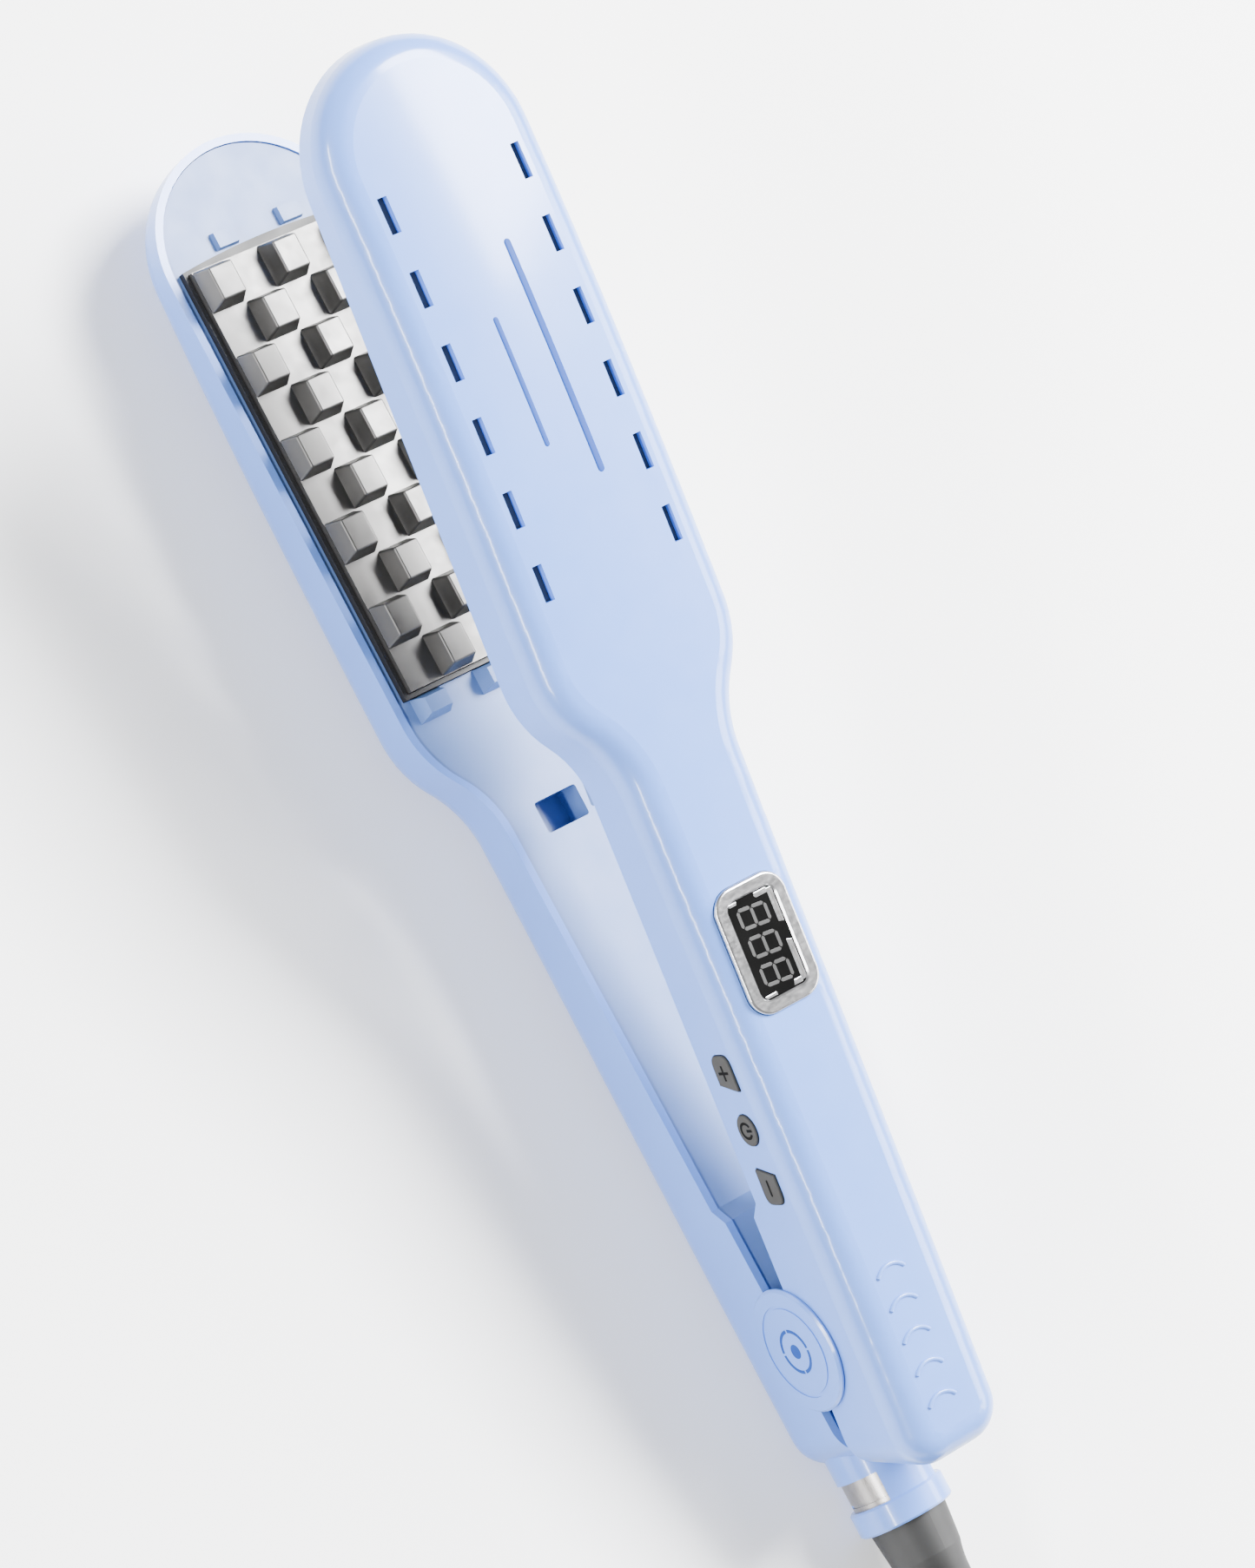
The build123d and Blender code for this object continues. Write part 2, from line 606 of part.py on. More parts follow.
def display_window():
    size = window_size(FIT)
    pane = extrude(RectangleRounded(size[0], size[1], BEZEL_CORNER - BEZEL_BORDER - FIT), WINDOW_THICK)
    return (display_plane() * Pos(0, 0, -0.7) * pane).solid()


def display_module():
    size = window_size(1.0)
    return (display_plane() * Pos(0, 0, -0.8 - MODULE_THICK / 2) * Box(size[0], size[1], MODULE_THICK)).solid()


def display_frame():
    """White frame that carries the display module under the shell."""
    size = window_size(-1.6)
    inner = window_size(0.9)
    frame = Box(size[0], size[1], FRAME_THICK) - Box(inner[0], inner[1], 3)
    return (display_plane() * Pos(0, 0, -WALL - FRAME_DROP - FRAME_THICK / 2) * frame).solid()


def main_board():
    low = -0.8 - MODULE_THICK - 0.2
    board = Pos(5, 0, low - BOARD_THICK / 2) * Box(35, 17, BOARD_THICK)
    return (display_plane() * board).solid()


# ---------------------------------------------------------------- buttons
def button(index):
    """Rubber key with a flange behind the wall."""
    face = side_half(BUTTON_X[index]) + BUTTON_PROUD
    wall_inside = side_half(BUTTON_X[index]) - WALL
    back = wall_inside - BUTTON_PLAY
    stem = on_side(index, button_outline(index), back - 0.1, face)
    rim = stem.edges().group_by(Axis.Y)[-1]
    stem = fillet(rim, 0.3)
    flange = on_side(index, button_outline(index, 0.9), back - BUTTON_FLANGE, back)
    return (stem + flange).solid()


def switch_face():
    """Y of the switches' tops, clear of the last button when it is pressed."""
    return side_half(BUTTON_X[2]) - WALL - BUTTON_PLAY - BUTTON_FLANGE - BUTTON_TRAVEL - 0.15


def tact_switches():
    group = []
    for x in BUTTON_X:
        group.append(block_at(x, switch_face() - SWITCH_SIZE[1] / 2, BUTTON_Z, SWITCH_SIZE))
    return group


def switch_board():
    y = switch_face() - SWITCH_SIZE[1] - BOARD_THICK / 2
    x = (BUTTON_X[0] + BUTTON_X[2]) / 2
    return block_at(x, y, BUTTON_Z, (36, BOARD_THICK, 10))


# ---------------------------------------------------------------- cord exit
def swivel_sleeve():
    outer = tube_x(SLEEVE_R, LOWER_TAIL_X - 1.9, TUBE_END_X + 0.2)
    groove = tube_x(SLEEVE_R + 1, WINDOW_X[0] + 0.9, WINDOW_X[0] + 1.5) - tube_x(SLEEVE_R - 0.35, -60, 0)
    bore = tube_x(SLEEVE_R - SLEEVE_WALL, -60, 0)
    return (outer - groove - bore).solid()


def swivel_core():
    """Plastic core that turns in the tail wall and carries the wires."""
    start = LOWER_TAIL_X - 1.9
    barrel = tube_x(SLEEVE_R - SLEEVE_WALL - 0.02, start, TUBE_END_X + 0.2)
    inside = LOWER_TAIL_X + WALL + CORE_HEAD_GAP
    neck = tube_x(CORE_NECK_R, start, inside)
    head = tube_x(CORE_HEAD_R, inside, inside + 2.0)
    bore = tube_x(2.6, TUBE_END_X + 3, 0)
    return (barrel + neck + head - bore).solid()


def boot_path():
    start = Vector(TUBE_END_X - 0.2 - BOOT_STRAIGHT, 0, TUBE_Z)
    end = start + Vector(-BOOT_REACH, -BOOT_SIDE, -BOOT_DROP)
    return TangentArc(start, end, tangent=(-1, 0, 0))


def cord_boot():
    """Rubber strain relief: a straight root and a bent taper."""
    root_x = TUBE_END_X - 0.2
    root = Pos(root_x, 0, TUBE_Z) * Rot(0, -90, 0)
    cone = root * extrude(Circle(BOOT_ROOT_R), BOOT_STRAIGHT)
    cone &= root * Pos(0, 0, BOOT_STRAIGHT / 2) * Cone(BOOT_ROOT_R, BOOT_BEND_R, BOOT_STRAIGHT)
    path = boot_path()
    sections = [
        Plane(origin=path @ 0, z_dir=path % 0) * Circle(BOOT_BEND_R),
        Plane(origin=path @ 1, z_dir=path % 1) * Circle(BOOT_TIP_R),
    ]
    bend = sweep(sections, path=path, multisection=True)
    return (cone + bend).solid()


def cord_tube(points):
    """Round cord along straight runs joined by tangent arcs."""
    places = [Vector(*p) for p in points]
    radii = []
    for before, here, after in zip(places, places[1:], places[2:]):
        turn = (here - before).get_angle(after - here)
        run = min((here - before).length, (after - here).length)
        radii.append(0.45 * run / math.tan(math.radians(turn / 2)))
    path = FilletPolyline(*points, radius=radii)
    section = Plane(origin=path @ 0, z_dir=path % 0) * Circle(CORD_D / 2)
    return sweep(section, path=path).solid()


def cord_lead():
    return cord_tube([tuple(boot_path() @ 1)] + LEAD)


def hank_height():
    return HANK_LAYERS * CORD_D


def loop_outline(radius, waist):
    """Two round end loops joined by tangent lines that meet at the waist's half width."""
    reach = math.hypot(HANK_LOOPS, waist)
    heading = math.asin(radius / reach) - math.atan2(waist, HANK_LOOPS)
    run = math.sqrt(reach ** 2 - radius ** 2)
    x, y = run * math.cos(heading), waist + run * math.sin(heading)
    tip = HANK_LOOPS + radius
    right = ThreePointArc((x, y), (tip, 0), (x, -y))
    left = ThreePointArc((-x, -y), (-tip, 0), (-x, y))
    over = Polyline((-x, y), (0, waist), (x, y))
    under = Polyline((x, -y), (0, -waist), (-x, -y))
    return make_face([right, left] + over.edges() + under.edges())


def cord_hank():
    """Outer form of the tied hank: a waist with a loop at each end."""
    outer = loop_outline(HANK_INNER_R + (HANK_COLUMNS - 0.5) * CORD_D, HANK_COLUMNS * CORD_D)
    block = extrude(outer, hank_height(), dir=(0, 0, 1))
    eye_r = HANK_INNER_R - CORD_D / 2
    for side in (-1, 1):
        block -= Pos(side * HANK_LOOPS, 0, -1) * extrude(Circle(eye_r), hank_height() + 2)
    return (Pos(HANK_CENTRE[0], HANK_CENTRE[1], FLOOR_Z + TIE_THICK) * block).solid()


def cord_tie():
    """Strap round the hank's waist."""
    width = 2 * HANK_COLUMNS * CORD_D + 1.0
    height = hank_height()
    band = Rectangle(width + 2 * TIE_THICK, height + 2 * TIE_THICK)
    band = fillet(band.vertices(), 3) - Rectangle(width, height)
    plane = Plane(origin=(HANK_CENTRE[0], HANK_CENTRE[1], FLOOR_Z + TIE_THICK + height / 2), x_dir=(0, 1, 0),
                  z_dir=(1, 0, 0))
    return extrude(plane * band, TIE_WIDTH / 2, both=True).solid()


def plug_place():
    return Pos(*TAIL[-1])


def plug_body():
    """Moulded mains plug with its strain relief."""
    relief = Rot(0, 90, 0) * Pos(0, 0, PLUG_RELIEF / 2) * Cone(PLUG_RELIEF_R[0], PLUG_RELIEF_R[1], PLUG_RELIEF)
    profile = RectangleRounded(PLUG_BODY[1], PLUG_BODY[2], 5.5)
    plane = Plane(origin=(PLUG_RELIEF, 0, 0), x_dir=(0, 1, 0), z_dir=(1, 0, 0))
    body = extrude(plane * profile, PLUG_BODY[0])
    body = fillet(body.edges().group_by(Axis.X)[0] + body.edges().group_by(Axis.X)[-1], 1.6)
    return (plug_place() * (relief + body)).solid()


def plug_pins():
    group = []
    x = PLUG_RELIEF + PLUG_BODY[0] + PLUG_PIN[0] / 2
    for side in (-1, 1):
        height = PLUG_PIN[2] + (1.6 if side > 0 else 0)
        blade = Box(PLUG_PIN[0], PLUG_PIN[1], height)
        blade = chamfer(blade.edges().group_by(Axis.X)[-1], 0.4)
        group.append((plug_place() * Pos(x, side * PLUG_PIN_PITCH / 2, 0) * blade).solid())
    return group


# ---------------------------------------------------------------- the whole iron
def lower_arm():
    return {
        "lower_shell": lower_shell(),
        "lower_liner": liner(LOWER),
        "lower_tail_cover": flip(tail_cover(LOWER_TAIL_X, LOWER_TAIL_RECESS)),
        "lower_insulator": flip(insulator()),
        "lower_plate": plate(LOWER),
        "lower_heater": flip(heater()),
        "lower_heater_shoe": flip(heater_shoe()),
        "lower_thermal_fuse": flip(thermal_fuse()),
        "lower_plate_screws": [flip(screw) for screw in plate_screws()],
        "hinge_pin": hinge_pin(),
        "hinge_cap_left": hinge_cap(1),
        "hinge_cap_right": hinge_cap(-1),
        "opening_spring": opening_spring(),
    }


def upper_arm():
    pieces = {
        "upper_shell": upper_shell(),
        "upper_liner": liner(UPPER),
        "upper_tail_cover": tail_cover(UPPER_TAIL_X, UPPER_TAIL_RECESS),
        "upper_insulator": insulator(),
        "upper_plate": plate(UPPER),
        "upper_heater": heater(),
        "upper_heater_shoe": heater_shoe(),
        "upper_thermal_fuse": thermal_fuse(),
        "upper_plate_screws": plate_screws(),
        "display_bezel": bezel(),
        "display_window": display_window(),
        "display_module": display_module(),
        "display_frame": display_frame(),
        "main_board": main_board(),
        "switch_board": switch_board(),
        "tact_switches": tact_switches(),
    }
    for index, name in enumerate(("button_plus", "button_power", "button_minus")):
        pieces[name] = button(index)
    return pieces


def cord_end():
    return {
        "swivel_sleeve": swivel_sleeve(),
        "swivel_core": swivel_core(),
        "cord_boot": cord_boot(),
        "cord_lead": cord_lead(),
        "cord_hank": cord_hank(),
        "cord_tie": cord_tie(),
        "cord_tail": cord_tube(TAIL),
        "plug_body": plug_body(),
        "plug_pins": plug_pins(),
    }


def write(pieces, place):
    for name, shape in pieces.items():
        solids = shape if isinstance(shape, (list, ShapeList)) else [shape]
        moved = Compound(children=[place * solid for solid in solids]) if len(solids) > 1 else place * solids[0]
        export_step(moved, f"parts/{name}.step")


write(lower_arm(), STAND)
write(upper_arm(), STAND * Rot(0, -OPEN_ANGLE, 0))
write(cord_end(), STAND)
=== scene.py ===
import json
import math

import bpy
import bmesh
from mathutils import Matrix, Vector
from mathutils.bvhtree import BVHTree


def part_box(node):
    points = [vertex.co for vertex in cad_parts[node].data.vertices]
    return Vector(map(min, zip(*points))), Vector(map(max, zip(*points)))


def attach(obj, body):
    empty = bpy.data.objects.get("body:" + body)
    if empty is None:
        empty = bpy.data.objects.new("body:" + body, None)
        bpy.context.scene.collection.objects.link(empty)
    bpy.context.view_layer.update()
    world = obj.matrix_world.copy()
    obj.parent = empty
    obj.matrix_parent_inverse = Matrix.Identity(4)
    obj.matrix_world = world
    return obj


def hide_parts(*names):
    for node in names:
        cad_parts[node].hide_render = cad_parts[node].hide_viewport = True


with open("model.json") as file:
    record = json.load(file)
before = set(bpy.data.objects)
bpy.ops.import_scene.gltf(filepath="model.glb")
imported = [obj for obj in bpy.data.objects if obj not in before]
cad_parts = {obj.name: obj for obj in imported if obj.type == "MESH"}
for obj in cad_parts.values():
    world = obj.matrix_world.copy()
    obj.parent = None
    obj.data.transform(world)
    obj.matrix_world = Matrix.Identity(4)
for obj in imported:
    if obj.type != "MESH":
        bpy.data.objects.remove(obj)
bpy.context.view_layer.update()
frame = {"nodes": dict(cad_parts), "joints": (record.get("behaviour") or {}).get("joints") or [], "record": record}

# Lengths named ..._MM are in millimetres in the iron's own closed frame: the hinge axis is the
# origin, +X runs to the head and z = 0 is the plane where the closed arms meet.
MM = 0.001
NODES = frame["nodes"]
JOINTS = {joint["name"]: joint for joint in frame["joints"]}
HINGE = Vector(JOINTS["arm_hinge"]["pos_m"])
OPEN_ANGLE = math.radians(JOINTS["arm_hinge"]["range_deg"][1])
LOWER_TO_ROW = Matrix.Translation(HINGE)
UPPER_TO_ROW = LOWER_TO_ROW @ Matrix.Rotation(-OPEN_ANGLE, 4, "Y")


def lower_point(x, y, z):
    return LOWER_TO_ROW @ Vector((x * MM, y * MM, z * MM))


def upper_point(x, y, z):
    return UPPER_TO_ROW @ Vector((x * MM, y * MM, z * MM))


ARM_X = (upper_point(1, 0, 0) - upper_point(0, 0, 0)).normalized()
ARM_Z = (upper_point(0, 0, 1) - upper_point(0, 0, 0)).normalized()


# ---------------------------------------------------------------- camera
CAMERA_MM = (77.7, 525.9, 896.8)
CAMERA_RIGHT = (-0.4653, -0.7663, 0.4430)
CAMERA_UP = (0.8846, -0.3850, 0.2631)
CAMERA_BACK = (-0.0310, 0.5143, 0.8571)
LENS = 125.25


def make_camera():
    data = bpy.data.cameras.new("camera")
    data.lens = LENS
    data.sensor_width = 36.0
    data.clip_start = 0.05
    data.clip_end = 20.0
    camera = bpy.data.objects.new("camera", data)
    bpy.context.scene.collection.objects.link(camera)
    right = Vector(CAMERA_RIGHT).normalized()
    back = Vector(CAMERA_BACK)
    back = (back - right * back.dot(right)).normalized()
    up = back.cross(right)
    turn = Matrix((right, up, back)).transposed().to_4x4()
    camera.matrix_world = Matrix.Translation(lower_point(*CAMERA_MM)) @ turn
    bpy.context.scene.camera = camera


# ---------------------------------------------------------------- materials
def new_material(name):
    material = bpy.data.materials.new(name)
    material.use_nodes = True
    tree = material.node_tree
    return material, tree, tree.nodes["Principled BSDF"]


def add_node(tree, kind, **values):
    node = tree.nodes.new(kind)
    for key, value in values.items():
        setattr(node, key, value)
    return node


def noise(tree, scale, detail=3.0, roughness=0.5):
    place = add_node(tree, "ShaderNodeTexCoord")
    texture = add_node(tree, "ShaderNodeTexNoise")
    texture.inputs["Scale"].default_value = scale
    texture.inputs["Detail"].default_value = detail
    texture.inputs["Roughness"].default_value = roughness
    tree.links.new(place.outputs["Object"], texture.inputs["Vector"])
    return texture.outputs["Fac"]


def ramp(tree, factor, low, high, start=0.3, end=0.7):
    node = add_node(tree, "ShaderNodeValToRGB")
    node.color_ramp.elements[0].position = start
    node.color_ramp.elements[1].position = end
    node.color_ramp.elements[0].color = low
    node.color_ramp.elements[1].color = high
    tree.links.new(factor, node.inputs["Fac"])
    return node.outputs["Color"]


def grey(value):
    return (value, value, value, 1.0)


def bump(tree, shader, height, strength, distance):
    node = add_node(tree, "ShaderNodeBump")
    node.inputs["Strength"].default_value = strength
    node.inputs["Distance"].default_value = distance
    tree.links.new(height, node.inputs["Height"])
    tree.links.new(node.outputs["Normal"], shader.inputs["Normal"])


def surface(name, low, high, rough, metallic=0.0, tint_scale=60.0, grain=900.0, strength=0.08, distance=0.00004,
            coat=0.0, coat_rough=0.1, specular=0.5):
    """Common build: slow colour drift, uneven roughness and fine moulded grain."""
    material, tree, shader = new_material(name)
    tree.links.new(ramp(tree, noise(tree, tint_scale), (*low, 1.0), (*high, 1.0)), shader.inputs["Base Color"])
    wear = noise(tree, grain * 0.12, 4.0)
    tree.links.new(ramp(tree, wear, grey(rough[0]), grey(rough[1])), shader.inputs["Roughness"])
    bump(tree, shader, noise(tree, grain, 2.0), strength, distance)
    shader.inputs["Metallic"].default_value = metallic
    shader.inputs["Coat Weight"].default_value = coat
    shader.inputs["Coat Roughness"].default_value = coat_rough
    shader.inputs["Specular IOR Level"].default_value = specular
    return material


def housing_material():
    return surface("housing_blue", (0.112, 0.242, 0.680), (0.122, 0.256, 0.705), (0.30, 0.37), grain=1500.0,
                   strength=0.05, coat=0.5, coat_rough=0.12, specular=0.35)


def plate_material():
    return surface("coated_plate", (0.082, 0.081, 0.080), (0.105, 0.103, 0.101), (0.30, 0.42), metallic=0.8,
                   grain=2600.0, strength=0.14)


def brushed_material(name, low, high, rough, stretch):
    """Metal with fine brush lines along one axis."""
    material, tree, shader = new_material(name)
    place = add_node(tree, "ShaderNodeTexCoord")
    scale = add_node(tree, "ShaderNodeMapping")
    scale.inputs["Scale"].default_value = stretch
    lines = add_node(tree, "ShaderNodeTexNoise")
    lines.inputs["Scale"].default_value = 700.0
    lines.inputs["Detail"].default_value = 4.0
    tree.links.new(place.outputs["Object"], scale.inputs["Vector"])
    tree.links.new(scale.outputs["Vector"], lines.inputs["Vector"])
    tree.links.new(ramp(tree, lines.outputs["Fac"], (*low, 1.0), (*high, 1.0)), shader.inputs["Base Color"])
    tree.links.new(ramp(tree, lines.outputs["Fac"], grey(rough[0]), grey(rough[1])), shader.inputs["Roughness"])
    bump(tree, shader, lines.outputs["Fac"], 0.12, 0.00003)
    shader.inputs["Metallic"].default_value = 1.0
    return material


MATERIALS = {
    "housing": housing_material(),
    # liner: a darker, greyer copy of the housing blue; this colour is painted shade for the recess between the arms
    "liner": surface("liner_painted_shade_blue", (0.092, 0.168, 0.385), (0.102, 0.180, 0.405), (0.34, 0.42), grain=1500.0,
                     strength=0.05, specular=0.35),
    "insulator": surface("insulator_black", (0.007, 0.007, 0.008), (0.012, 0.012, 0.013), (0.45, 0.58)),
    "plate_metal": plate_material(),
    "ceramic": surface("heater_ceramic", (0.60, 0.58, 0.55), (0.66, 0.64, 0.60), (0.5, 0.65)),
    "steel": brushed_material("bright_steel", (0.50, 0.50, 0.50), (0.60, 0.60, 0.60), (0.22, 0.34), (1, 12, 12)),
    "chrome": brushed_material("bezel_chrome", (0.48, 0.48, 0.49), (0.56, 0.56, 0.57), (0.18, 0.26), (2, 1, 1)),
    "display": surface("display_dark", (0.0025, 0.0025, 0.0025), (0.0035, 0.0035, 0.0035), (0.3, 0.4)),
    "inner_plastic": surface("inner_plastic", (0.50, 0.51, 0.53), (0.56, 0.57, 0.59), (0.45, 0.55)),
    "circuit_board": surface("circuit_board", (0.010, 0.070, 0.030), (0.016, 0.090, 0.040), (0.35, 0.5)),
    "key_rubber": surface("key_rubber", (0.0150, 0.0143, 0.0125), (0.0185, 0.0176, 0.0154), (0.60, 0.72), strength=0.15),
    "sleeve_steel": brushed_material("sleeve_steel", (0.28, 0.265, 0.26), (0.36, 0.345, 0.33), (0.26, 0.38),
                                     (1, 14, 14)),
    "cord_rubber": surface("cord_rubber", (0.008, 0.008, 0.008), (0.012, 0.012, 0.012), (0.5, 0.62), strength=0.12),
    "tie": surface("tie_black", (0.010, 0.010, 0.011), (0.020, 0.020, 0.021), (0.7, 0.85), strength=0.5),
    "brass": surface("plated_blade", (0.62, 0.58, 0.50), (0.70, 0.66, 0.58), (0.2, 0.32), metallic=1.0),
    "window": surface("window_dark", (0.0015, 0.0015, 0.0015), (0.0025, 0.0025, 0.0025), (0.16, 0.22), specular=0.15),
    "accent": surface("accent_blue", (0.004, 0.040, 0.235), (0.005, 0.046, 0.250), (0.50, 0.58), specular=0.2),
    # dark slate for the sheets under the head's slots: painted shade inside the slots
    "slot_shade": surface("slot_painted_shade_slate", (0.030, 0.042, 0.062), (0.036, 0.049, 0.071), (0.5, 0.6)),
    "segment": surface("display_segment", (0.018, 0.018, 0.018), (0.022, 0.022, 0.022), (0.35, 0.45)),
    "symbol": surface("key_symbol", (0.0004, 0.0004, 0.0004), (0.0008, 0.0008, 0.0008), (0.7, 0.8), specular=0.08),
}


def dress_cad_nodes():
    for subpart in frame["record"]["subparts"]:
        node = NODES[subpart["node"]]
        node.data.materials.clear()
        # The liners take the darker copy of the housing blue, which is painted shade for the recess between the arms.
        finish = "liner" if subpart["node"] in ("lower_liner", "upper_liner") else subpart["material_slot"]
        node.data.materials.append(MATERIALS[finish])


# ---------------------------------------------------------------- printed and inlaid details
def link(name, data, material, body):
    piece = bpy.data.objects.new(name, data)
    bpy.context.scene.collection.objects.link(piece)
    data.materials.append(MATERIALS[material])
    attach(piece, body)
    return piece


def face_frame(node, facing, along):
    """Frame on a node's outermost faces that look along facing: the origin at their centre, X near along, Z outward."""
    faces = [face for face in NODES[node].data.polygons if face.normal.dot(facing) > 0.985]
    normal = sum((face.normal * face.area for face in faces), Vector()).normalized()
    outer = max(face.center.dot(normal) for face in faces)
    centre, total = Vector(), 0.0
    for face in faces:
        if face.center.dot(normal) > outer - 0.1 * MM:
            centre += face.center * face.area
            total += face.area
    x = (along - normal * along.dot(normal)).normalized()
    y = normal.cross(x)
    return Matrix.Translation(centre / total) @ Matrix((x, y, normal)).transposed().to_4x4()


def inlay(name, outlines, place, thickness, material, body, sink=0.05):
    """Thin plates with the given outlines, in millimetres on a face, with softened edges."""
    mesh = bpy.data.meshes.new(name)
    shape = bmesh.new()
    for outline in outlines:
        low = [shape.verts.new(place @ Vector((u * MM, v * MM, -sink * MM))) for u, v in outline]
        high = [shape.verts.new(place @ Vector((u * MM, v * MM, thickness * MM))) for u, v in outline]
        shape.faces.new(high)
        shape.faces.new(low[::-1])
        for i in range(len(outline)):
            j = (i + 1) % len(outline)
            shape.faces.new((low[i], low[j], high[j], high[i]))
    bmesh.ops.recalc_face_normals(shape, faces=shape.faces)
    shape.to_mesh(mesh)
    shape.free()
    piece = link(name, mesh, material, body)
    edge = piece.modifiers.new("edge", "BEVEL")
    edge.width = 0.4 * thickness * MM
    edge.segments = 2
    edge.limit_method = "ANGLE"
    edge.angle_limit = math.radians(50)
    return piece


def arc(radius, start, end, steps, centre=(0.0, 0.0)):
    return [(centre[0] + radius * math.cos(math.radians(start + (end - start) * i / steps)),
             centre[1] + radius * math.sin(math.radians(start + (end - start) * i / steps)))
            for i in range(steps + 1)]


def bar(x0, x1, y, width):
    """Slim bar with round ends along X."""
    return arc(width / 2, -90, 90, 8, (x1 - width / 2, y)) + arc(width / 2, 90, 270, 8, (x0 + width / 2, y))


def arc_band(inner, outer, start, end, steps):
    return arc(outer, start, end, steps) + arc(inner, end, start, steps)


SEGMENT = 0.70             # width of a display segment
DIGIT = (4.3, 6.9)
DIGIT_PITCH = 5.65
DIGIT_LEAN = 0.10
DIGIT_RISE = 0.45          # of the digits' middle from the middle of the window


def digit_outlines(x0, y0):
    """Seven mitred segments of a figure 8, its height across the arm."""
    gap, half = 0.14, SEGMENT / 2
    w, h = DIGIT[0] / 2 - half, DIGIT[1] / 2 - half

    def along_x(y, skew):
        return [(-w + gap, y), (-w + gap + half, y + half * skew[0]), (w - gap - half, y + half * skew[0]),
                (w - gap, y), (w - gap - half, y + half * skew[1]), (-w + gap + half, y + half * skew[1])]

    def along_y(x, y1, y2):
        return [(x, y1 + gap), (x + half, y1 + gap + half), (x + half, y2 - gap - half), (x, y2 - gap),
                (x - half, y2 - gap - half), (x - half, y1 + gap + half)]

    shapes = [along_x(y, (1, -1)) for y in (-h, 0.0, h)]
    shapes += [along_y(x, y1, y2) for x in (-w, w) for y1, y2 in ((-h, 0.0), (0.0, h))]
    return [[(x0 + x + DIGIT_LEAN * y, y0 + y) for x, y in shape] for shape in shapes]


def add_display():
    place = face_frame("display_window", ARM_Z, ARM_X)
    digits = []
    for k in (-1, 0, 1):
        digits += digit_outlines(k * DIGIT_PITCH, DIGIT_RISE)
    inlay("display_digits", digits, place, 0.05, "segment", "upper_arm")
    near, far = -5.35, -4.05
    ledges = [
        [(-9.2, near), (-1.4, near), (-1.0, far), (-9.2, far)],
        [(2.2, near), (9.2, near), (9.2, far), (2.6, far)],
        [(8.5, far), (9.5, far), (9.5, -1.2), (8.9, -1.0), (8.5, -1.4)],
        [(8.9, 3.2), (9.5, 3.0), (9.5, 4.9), (8.9, 4.9)],
        [(-9.5, 2.0), (-8.9, 2.2), (-8.9, 4.8), (-9.5, 4.8)],
        [(-9.5, far), (-8.5, far), (-8.5, -2.4), (-9.5, -2.0)],
    ]
    inlay("display_ledge", ledges, place, 0.14, "chrome", "upper_arm")
    lines = [[(-8.9, near + 0.45), (-1.5, near + 0.45), (-1.5, near + 0.62), (-8.9, near + 0.62)],
             [(2.5, near + 0.45), (8.9, near + 0.45), (8.9, near + 0.62), (2.5, near + 0.62)]]
    inlay("display_ledge_step", lines, place, 0.20, "sleeve_steel", "upper_arm")


def add_key_symbols():
    side = Vector((0, 1, 0))
    line = 0.55
    reach = 1.55
    plus = [(-reach, -line / 2), (-line / 2, -line / 2), (-line / 2, -reach), (line / 2, -reach),
            (line / 2, -line / 2), (reach, -line / 2), (reach, line / 2), (line / 2, line / 2),
            (line / 2, reach), (-line / 2, reach), (-line / 2, line / 2), (-reach, line / 2)]
    stroke = [(-line / 2, -1.75), (line / 2, -1.75), (line / 2, -0.1), (-line / 2, -0.1)]
    power = [arc_band(1.25, 1.25 + line, -60, 240, 28), stroke]
    symbols = {"button_plus": [plus], "button_power": power, "button_minus": [bar(-1.7, 1.7, 0, line)]}
    for node, outlines in symbols.items():
        place = face_frame(node, side, ARM_X)
        inlay(node + "_symbol", outlines, place, 0.03, "symbol", node)


EMBLEM_RING = (3.9, 4.6)   # inner and outer radius
EMBLEM_DOT_R = 1.5


def add_cap_emblem():
    """Plain ring with a dot on the pivot cap's inlay."""
    cap_face_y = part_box("hinge_cap_left")[1][1]
    x, y, z = Vector((1, 0, 0)), Vector((0, 0, -1)), Vector((0, 1, 0))
    place = Matrix.Translation((HINGE.x, cap_face_y, HINGE.z)) @ Matrix((x, y, z)).transposed().to_4x4()
    ring = [arc_band(*EMBLEM_RING, start, start + 84, 14) for start in (0, 90, 180, 270)]
    dot = arc(EMBLEM_DOT_R, 0, 345, 23)
    inlay("cap_emblem", ring + [dot], place, 0.03, "accent", "lower_arm")


# The two bars on the head: from x, to x, y of the middle line and width.
HEAD_BARS_MM = ((169.4, 215.2, -5.0, 1.5), (177.7, 203.0, 3.8, 1.1))
BAR_STEPS = 44
BAR_LIFT_MM = 0.05         # of a bar's middle above the shell
BAR_THICK_MM = 0.06
ABOVE_ARM_MM = 40          # height from which the shell's face is looked for


def shell_tree():
    """Search tree over the upper shell's faces."""
    shell = NODES["upper_shell"].data
    return BVHTree.FromPolygons([v.co for v in shell.vertices], [p.vertices for p in shell.polygons])


